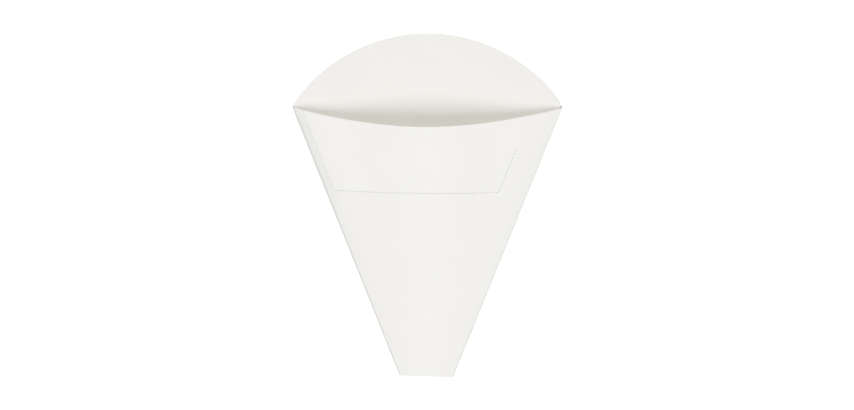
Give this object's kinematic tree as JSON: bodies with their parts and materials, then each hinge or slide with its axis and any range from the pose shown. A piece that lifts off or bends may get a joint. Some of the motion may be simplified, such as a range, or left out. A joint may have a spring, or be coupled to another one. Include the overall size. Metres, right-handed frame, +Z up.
{
  "type": "paper crepe cone",
  "caption": "Flat-folded white board cone for a hot crepe, with a round dome behind a hollow lip, a perforated tear line and a glued side.",
  "frame": {"origin": "under the middle of the outline, on the surface that the back panel lies on", "axes": "+X across the mouth to the glued side, +Y from the cut tip to the dome, +Z up out of the front panel"},
  "size_m": [0.1762, 0.2236, 0.0235],
  "materials": {
    "white_board": "matte"
  },
  "bodies": {
    "root": {"paper_cone": "white_board"}
  },
  "joints": []
}
